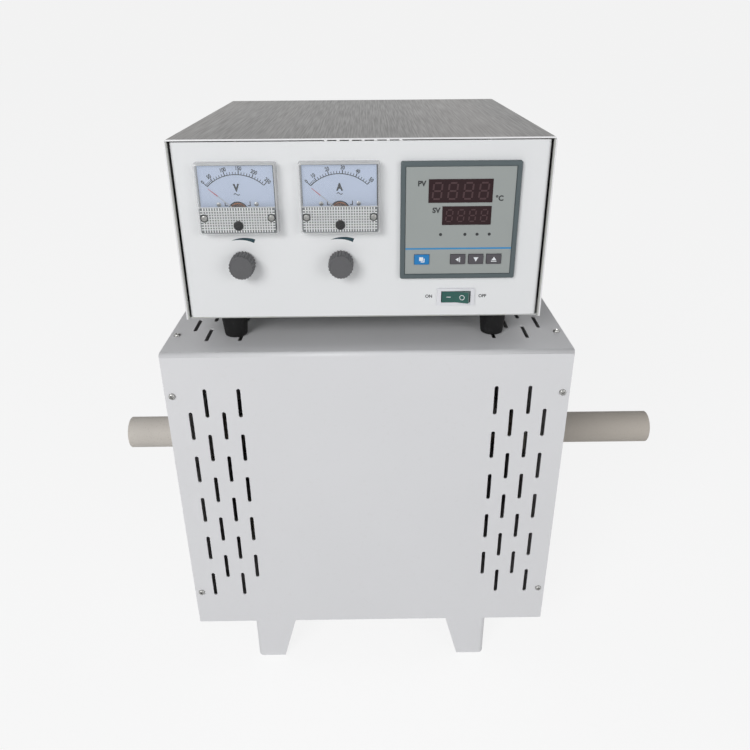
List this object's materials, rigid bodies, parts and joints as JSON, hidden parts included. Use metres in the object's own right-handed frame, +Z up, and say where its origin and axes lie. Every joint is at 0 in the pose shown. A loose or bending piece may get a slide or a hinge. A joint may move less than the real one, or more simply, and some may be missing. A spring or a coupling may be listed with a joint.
{
  "type": "tube furnace",
  "caption": "Bench tube furnace with a ceramic work tube through a slotted sheet-metal casing, and its temperature controller with dial meters, knobs and regulator on top.",
  "frame": {"origin": "on the bench, below the middle of the furnace casing", "axes": "+X to the right along the work tube, +Y to the back, +Z up"},
  "size_m": [0.6, 0.343, 0.5379],
  "materials": {
    "casing_paint": "satin",
    "controller_paint": "satin",
    "controller_cover_metal": "metallic satin",
    "zinc_plated_steel": "zinc plated",
    "inner_steel": "matt",
    "tube_ceramic": "matt fired",
    "collar_ceramic": "matt fired",
    "fibre_insulation": "pressed ceramic fibre",
    "silicon_carbide": "matt",
    "link_aluminium": "rolled",
    "probe_steel": "satin",
    "terminal_ceramic": "glazed",
    "gland_nylon": "matt",
    "foot_rubber": "matt",
    "meter_body": "matt",
    "meter_clear": "clear moulding",
    "dial_face": "matt",
    "needle_red": "matt",
    "zero_black": "gloss",
    "knob_grey": "fine matt",
    "shaft_brass": "turned",
    "component_steel": "plated",
    "regulator_frame": "fine matt",
    "circuit_board": "matt",
    "regulator_panel": "satin film",
    "display_window": "gloss",
    "key_blue": "satin",
    "key_grey": "satin",
    "switch_white": "satin",
    "rocker_green": "gloss",
    "core_steel": "laminated",
    "sink_aluminium": "extruded",
    "module_plastic": "matt"
  },
  "bodies": {
    "furnace": {"furnace_cover": "casing_paint", "end_plate_left": "casing_paint", "end_plate_right": "casing_paint", "base_plate": "casing_paint", "leg_front_left": "casing_paint", "leg_front_right": "casing_paint", "leg_rear_left": "casing_paint", "leg_rear_right": "casing_paint", "casing_screws": "zinc_plated_steel", "end_collars": "collar_ceramic", "inner_shell": "inner_steel", "insulation_lower": "fibre_insulation", "insulation_upper": "fibre_insulation", "heating_rods": "silicon_carbide", "rod_links": "link_aluminium", "thermocouple": "probe_steel", "terminal_block": "terminal_ceramic", "furnace_gland": "gland_nylon"},
    "work_tube": {"work_tube": "tube_ceramic"},
    "controller": {"controller_cover": "controller_cover_metal", "front_panel": "controller_paint", "chassis": "zinc_plated_steel", "back_panel": "controller_paint", "rubber_feet": "foot_rubber", "controller_screws": "zinc_plated_steel", "voltmeter_case": "meter_body", "voltmeter_window": "meter_clear", "voltmeter_dial": "dial_face", "ammeter_case": "meter_body", "ammeter_window": "meter_clear", "ammeter_dial": "dial_face", "meter_screws": "zinc_plated_steel", "potentiometers": "component_steel", "regulator_case": "regulator_frame", "regulator_bezel": "regulator_frame", "regulator_board": "circuit_board", "regulator_face": "regulator_panel", "process_window": "display_window", "setpoint_window": "display_window", "switch_frame": "switch_white", "transformer": "core_steel", "heat_sink": "sink_aluminium", "thyristor_module": "module_plastic", "fuse_holder": "module_plastic", "controller_glands": "gland_nylon"},
    "voltmeter_needle": {"voltmeter_needle": "needle_red"},
    "ammeter_needle": {"ammeter_needle": "needle_red"},
    "voltmeter_zero": {"voltmeter_zero": "zero_black"},
    "ammeter_zero": {"ammeter_zero": "zero_black"},
    "coarse_knob": {"coarse_knob": "knob_grey", "coarse_shaft": "shaft_brass"},
    "fine_knob": {"fine_knob": "knob_grey", "fine_shaft": "shaft_brass"},
    "set_key": {"set_key": "key_blue"},
    "shift_key": {"shift_key": "key_grey"},
    "down_key": {"down_key": "key_grey"},
    "up_key": {"up_key": "key_grey"},
    "switch_rocker": {"switch_rocker": "rocker_green"}
  },
  "joints": [
    {"name": "controller_lift", "type": "slide", "parent": "furnace", "child": "controller", "axis": [0, 0, 1], "range_m": [0, 0.2]},
    {"name": "work_tube_slide", "type": "slide", "parent": "furnace", "child": "work_tube", "axis": [1, 0, 0], "range_m": [-0.13, 0.08]},
    {"name": "voltmeter_needle_swing", "type": "hinge", "parent": "controller", "child": "voltmeter_needle", "pos_m": [-0.1018, -0.1412, 0.4825], "axis": [0, 1, 0], "range_deg": [0, 100], "stiffness_Nm_per_rad": 0.00001},
    {"name": "voltmeter_zero_turn", "type": "hinge", "parent": "controller", "child": "voltmeter_zero", "pos_m": [-0.1018, -0.1412, 0.4727], "axis": [0, 1, 0], "range_deg": [-30, 30]},
    {"name": "ammeter_needle_swing", "type": "hinge", "parent": "controller", "child": "ammeter_needle", "pos_m": [-0.02023, -0.1412, 0.4825], "axis": [0, 1, 0], "range_deg": [0, 100], "stiffness_Nm_per_rad": 0.00001},
    {"name": "ammeter_zero_turn", "type": "hinge", "parent": "controller", "child": "ammeter_zero", "pos_m": [-0.02023, -0.1412, 0.4727], "axis": [0, 1, 0], "range_deg": [-30, 30]},
    {"name": "coarse_knob_turn", "type": "hinge", "parent": "controller", "child": "coarse_knob", "pos_m": [-0.1024, -0.1412, 0.4387], "axis": [0, 1, 0], "range_deg": [0, 300]},
    {"name": "fine_knob_turn", "type": "hinge", "parent": "controller", "child": "fine_knob", "pos_m": [-0.02083, -0.1412, 0.4387], "axis": [0, 1, 0], "range_deg": [0, 300]},
    {"name": "set_key_press", "type": "slide", "parent": "controller", "child": "set_key", "axis": [0, 1, 0], "range_m": [0, 0.0007], "stiffness_N_per_m": 500},
    {"name": "shift_key_press", "type": "slide", "parent": "controller", "child": "shift_key", "axis": [0, 1, 0], "range_m": [0, 0.0007], "stiffness_N_per_m": 500},
    {"name": "down_key_press", "type": "slide", "parent": "controller", "child": "down_key", "axis": [0, 1, 0], "range_m": [0, 0.0007], "stiffness_N_per_m": 500},
    {"name": "up_key_press", "type": "slide", "parent": "controller", "child": "up_key", "axis": [0, 1, 0], "range_m": [0, 0.0007], "stiffness_N_per_m": 500},
    {"name": "power_rocker", "type": "hinge", "parent": "controller", "child": "switch_rocker", "pos_m": [0.07636, -0.1402, 0.4073], "axis": [0, 0, 1], "range_deg": [0, 18]}
  ]
}
